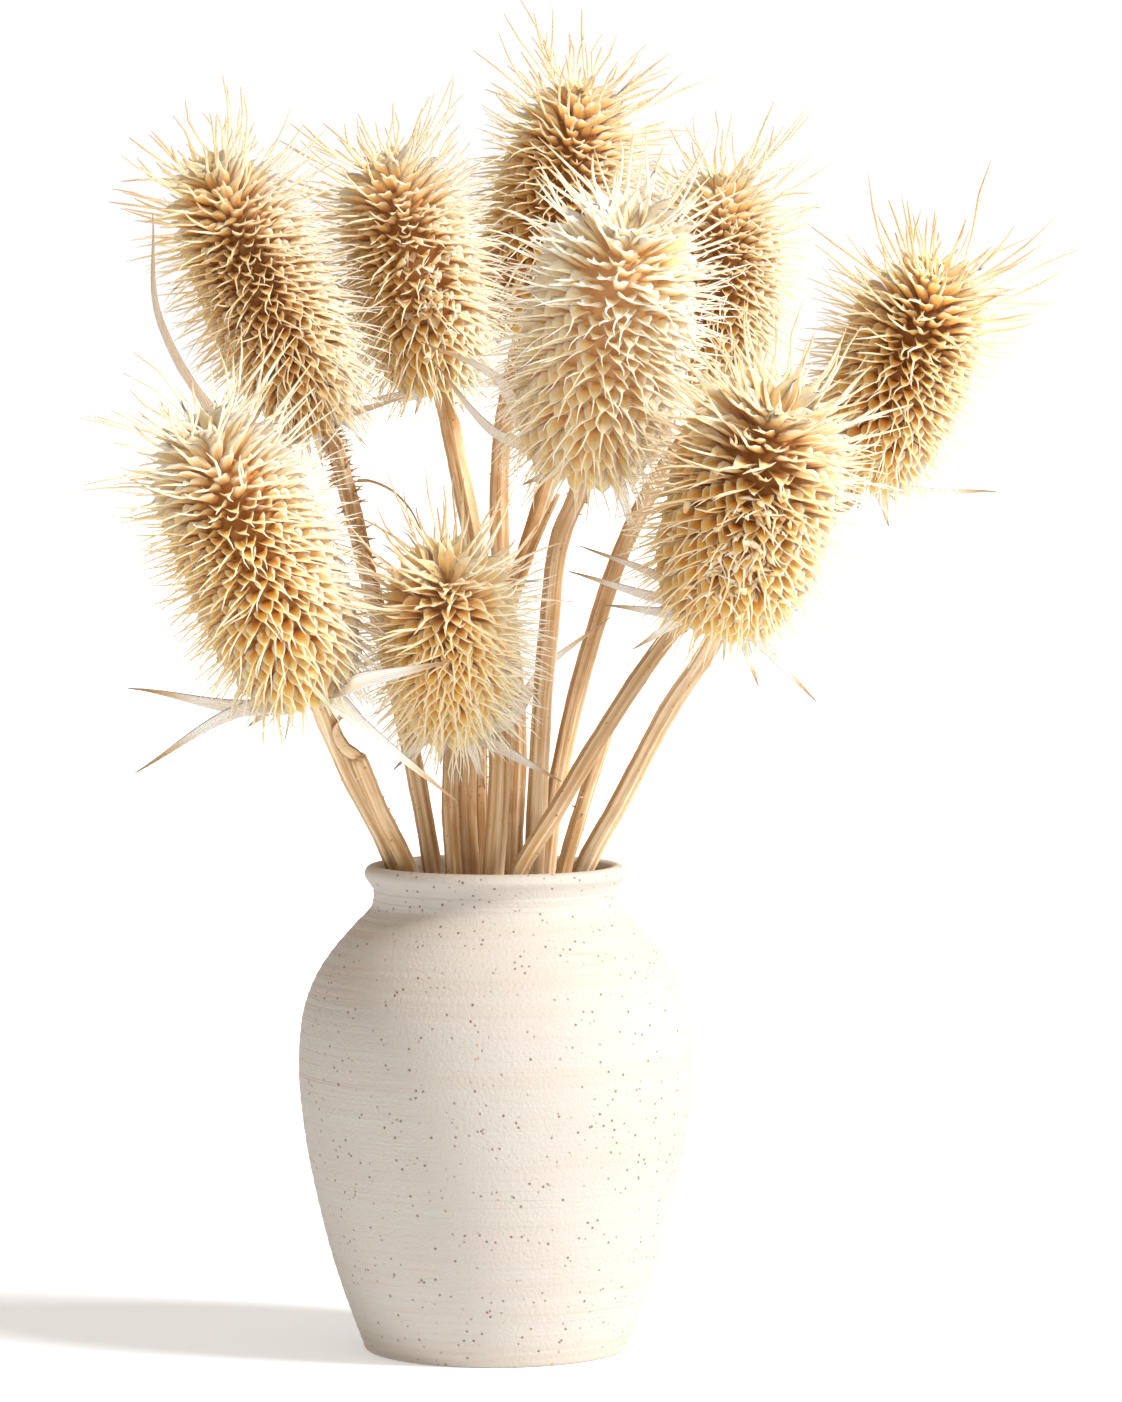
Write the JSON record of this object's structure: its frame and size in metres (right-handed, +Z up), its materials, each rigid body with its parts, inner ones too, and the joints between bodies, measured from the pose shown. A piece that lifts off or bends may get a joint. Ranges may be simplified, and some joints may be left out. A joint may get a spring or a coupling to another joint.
{
  "type": "vase of dried teasel seed heads",
  "caption": "Dried teasels with spiny egg-shaped seed heads and long curved bracts, on ridged stalks that stand in a round-shouldered stoneware vase with a rolled rim.",
  "frame": {"origin": "middle of the vase's flat foot, on the surface that it stands on", "axes": "+Z up along the vase's turned axis, -Y towards the front that the picture shows, +X to its right"},
  "size_m": [0.256, 0.1824, 0.3806],
  "materials": {
    "stoneware": "matte cream stoneware with fine brown specks and throwing rings",
    "stalk": "dry ridged straw-coloured stalk with small prickles and brown specks",
    "bract": "thin papery pale bract with fine lengthwise veins",
    "spine": "golden straw bracts, brown deep between them, with pale spine tips"
  },
  "bodies": {
    "root": {"vase": "stoneware", "stem_1": "stalk", "involucre_1": "bract", "seed_head_1": "spine", "stem_2": "stalk", "involucre_2": "bract", "seed_head_2": "spine", "stem_3": "stalk", "involucre_3": "bract", "seed_head_3": "spine", "stem_4": "stalk", "involucre_4": "bract", "seed_head_4": "spine", "stem_5": "stalk", "involucre_5": "bract", "seed_head_5": "spine", "stem_6": "stalk", "involucre_6": "bract", "seed_head_6": "spine", "stem_7": "stalk", "involucre_7": "bract", "seed_head_7": "spine", "stem_8": "stalk", "involucre_8": "bract", "seed_head_8": "spine", "stem_9": "stalk", "involucre_9": "bract", "seed_head_9": "spine", "bare_stem_1": "stalk", "bare_stem_2": "stalk", "bare_stem_3": "stalk", "bare_stem_4": "stalk"}
  },
  "joints": []
}
